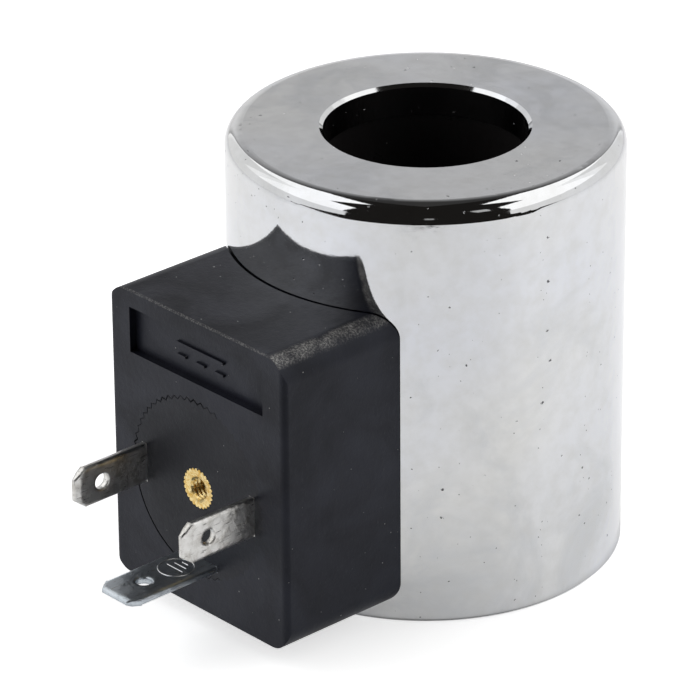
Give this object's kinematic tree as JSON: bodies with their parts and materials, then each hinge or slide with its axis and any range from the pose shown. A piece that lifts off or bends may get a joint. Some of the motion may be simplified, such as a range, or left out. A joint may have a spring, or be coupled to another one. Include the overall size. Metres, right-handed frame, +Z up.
{
  "type": "solenoid valve coil",
  "caption": "Round plated steel solenoid coil with an open bore, and a black moulded plug base with flat blades, an earth blade and a threaded insert.",
  "frame": {"origin": "on the bore axis, at the can's lower face", "axes": "+Z up the bore to the integral flange, -Y the way the plug blades point, +X to the right seen from the plug side"},
  "size_m": [0.045, 0.0694, 0.051],
  "materials": {
    "chromed_steel": "bright chrome on turned steel",
    "plated_plate": "zinc plated, turned",
    "bobbin_nylon": "black glass-filled nylon, moulded",
    "copper_wire": "enamelled copper",
    "tape": "yellow polyester film",
    "sleeving": "natural PTFE",
    "solder": "solidified solder",
    "tinned_blade": "tin plated brass, stamped",
    "bare_brass": "turned brass, knurled",
    "carrier_nylon": "black glass-filled nylon, moulded",
    "housing_nylon": "black glass-filled nylon, moulded"
  },
  "bodies": {
    "root": {"steel_can": "chromed_steel", "end_plate": "plated_plate", "bobbin": "bobbin_nylon", "winding": "copper_wire", "winding_tape": "tape", "start_lead": "copper_wire", "finish_lead": "copper_wire", "start_sleeve": "sleeving", "finish_sleeve": "sleeving", "start_solder": "solder", "finish_solder": "solder", "left_terminal": "tinned_blade", "right_terminal": "tinned_blade", "earth_terminal": "tinned_blade", "earth_strap": "tinned_blade", "threaded_insert": "bare_brass", "terminal_carrier": "carrier_nylon", "moulded_housing": "housing_nylon"}
  },
  "joints": []
}
